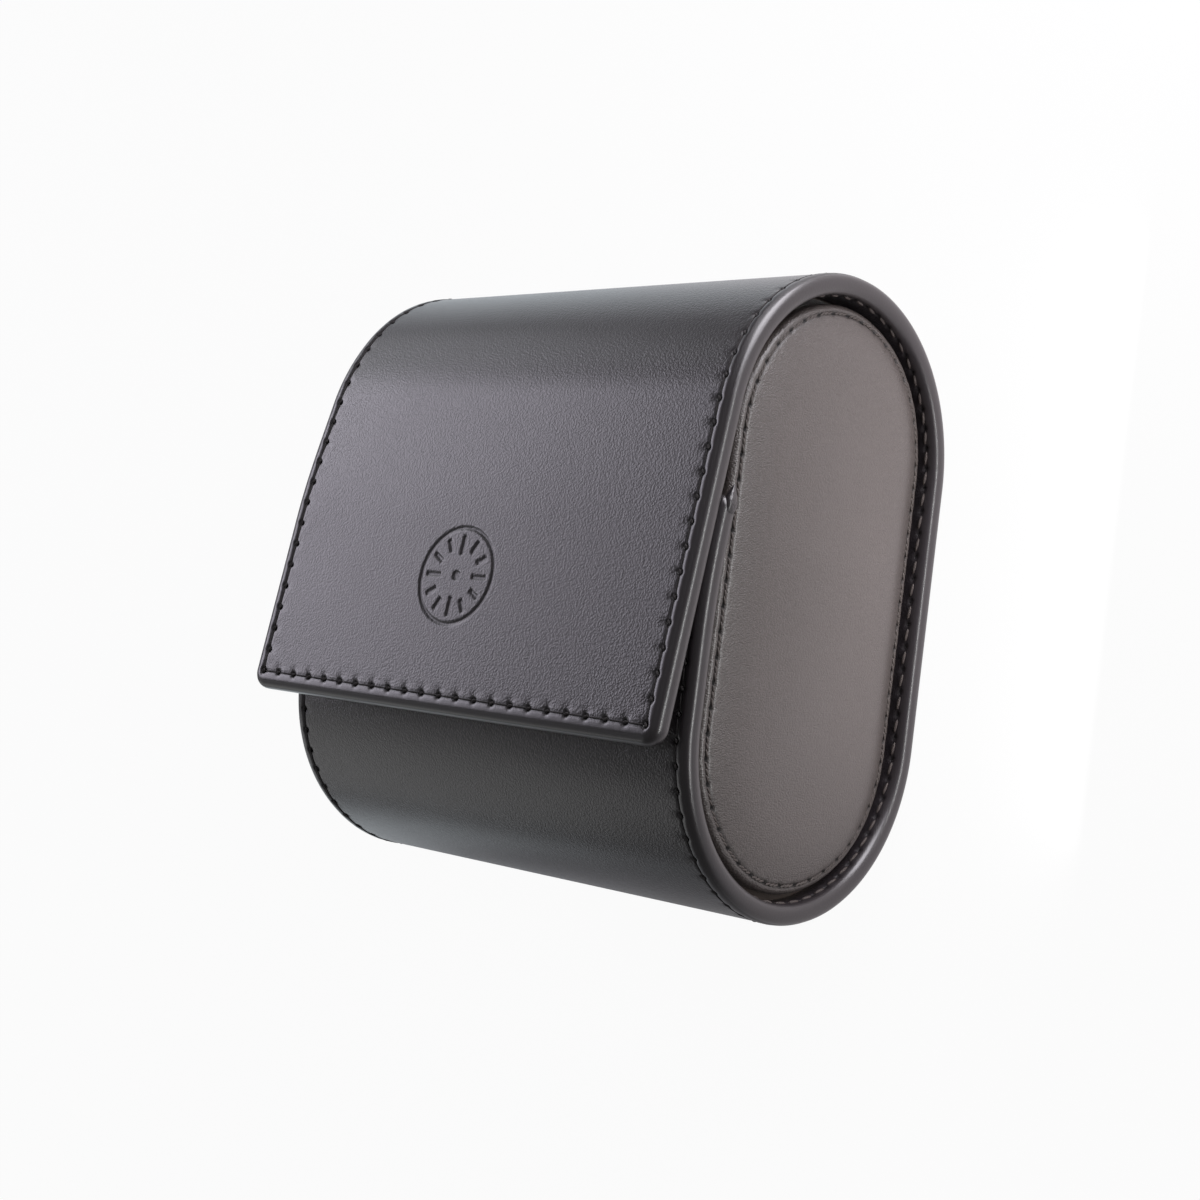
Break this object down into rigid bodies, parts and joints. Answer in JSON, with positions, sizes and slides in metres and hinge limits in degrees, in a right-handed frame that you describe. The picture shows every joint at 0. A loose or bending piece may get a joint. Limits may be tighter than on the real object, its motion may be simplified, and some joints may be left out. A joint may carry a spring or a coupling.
{
  "type": "wristwatch travel case",
  "caption": "Stadium-section stitched leather travel case for a wristwatch: flap lid that unrolls, recessed padded end panels, and a removable suede watch cushion.",
  "frame": {"origin": "middle of the flat back that the case lies on", "axes": "+X along the case from end panel to end panel, +Y towards the round end that unrolls, +Z out of the flap's face"},
  "size_m": [0.094, 0.105, 0.0674],
  "materials": {
    "outer_leather": "satin",
    "panel_leather": "satin",
    "lining_leather": "matte",
    "board": "matte",
    "foam": "matte",
    "suede": "matte",
    "magnet_steel": "satin"
  },
  "bodies": {
    "case": {"case_leather": "outer_leather", "case_core": "board", "case_lining": "lining_leather", "wall_keepers": "magnet_steel", "right_panel_leather": "panel_leather", "right_panel_foam": "foam", "right_panel_board": "board", "right_panel_lining": "lining_leather", "left_panel_leather": "panel_leather", "left_panel_foam": "foam", "left_panel_board": "board", "left_panel_lining": "lining_leather"},
    "lower_bend": {"lower_bend_leather": "outer_leather", "lower_bend_core": "board", "lower_bend_lining": "lining_leather"},
    "middle_bend": {"middle_bend_leather": "outer_leather", "middle_bend_core": "board", "middle_bend_lining": "lining_leather"},
    "upper_bend": {"upper_bend_leather": "outer_leather", "upper_bend_core": "board", "upper_bend_lining": "lining_leather"},
    "flap": {"flap_leather": "outer_leather", "flap_core": "board", "flap_lining": "lining_leather", "flap_magnets": "magnet_steel"},
    "cushion": {"cushion_foam": "foam", "cushion_wrap": "suede", "cushion_right_end": "suede", "cushion_left_end": "suede", "cushion_pull_tab": "outer_leather"}
  },
  "joints": [
    {"name": "lower_bend_fold", "type": "hinge", "parent": "case", "child": "lower_bend", "pos_m": [0, 0.03398, 0.00228], "axis": [-1, 0, 0], "range_deg": [0, 42]},
    {"name": "middle_bend_fold", "type": "hinge", "parent": "lower_bend", "child": "middle_bend", "pos_m": [0, 0.05022, 0.01852], "axis": [-1, 0, 0], "range_deg": [0, 42]},
    {"name": "upper_bend_fold", "type": "hinge", "parent": "middle_bend", "child": "upper_bend", "pos_m": [0, 0.05022, 0.04148], "axis": [-1, 0, 0], "range_deg": [0, 42]},
    {"name": "flap_lift", "type": "hinge", "parent": "upper_bend", "child": "flap", "pos_m": [0, 0.03398, 0.05772], "axis": [-1, 0, 0], "range_deg": [0, 42]},
    {"name": "cushion_slide", "type": "slide", "parent": "case", "child": "cushion", "axis": [0, 0.9848, 0.1736], "range_m": [0, 0.05]}
  ],
  "couplings": [
    {"joint": "middle_bend_fold", "follows": "lower_bend_fold", "ratio": 1},
    {"joint": "upper_bend_fold", "follows": "lower_bend_fold", "ratio": 1},
    {"joint": "flap_lift", "follows": "lower_bend_fold", "ratio": 1},
    {"joint": "cushion_slide", "follows": "lower_bend_fold", "m_per_rad": 0.0682}
  ]
}
